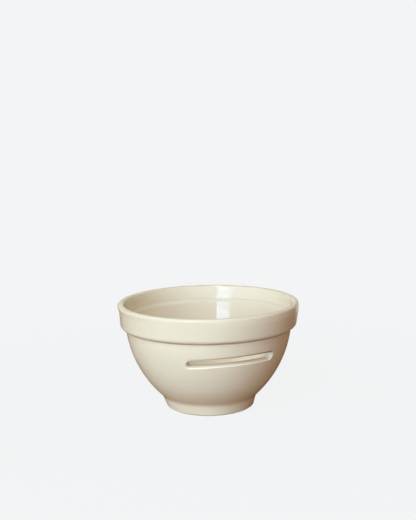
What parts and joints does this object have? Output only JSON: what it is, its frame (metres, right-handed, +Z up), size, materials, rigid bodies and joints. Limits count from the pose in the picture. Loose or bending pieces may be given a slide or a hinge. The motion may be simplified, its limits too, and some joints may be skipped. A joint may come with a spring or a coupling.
{
  "type": "egg separator bowl",
  "caption": "Small glazed stoneware bowl on a foot ring, with a stepped collar, rolled lip and long slot through the wall that pours off egg white and holds back the yolk.",
  "frame": {"origin": "centre of the foot ring's standing face, on the surface that the bowl stands on", "axes": "+Z up along the axis that the bowl is turned about, -Y out through the middle of the slot"},
  "size_m": [0.1146, 0.1146, 0.068],
  "materials": {
    "bare_stoneware": "matte",
    "cream_glaze": "gloss"
  },
  "bodies": {
    "root": {"stoneware_body": "bare_stoneware", "glaze_coat": "cream_glaze", "well_glaze": "cream_glaze"}
  },
  "joints": []
}
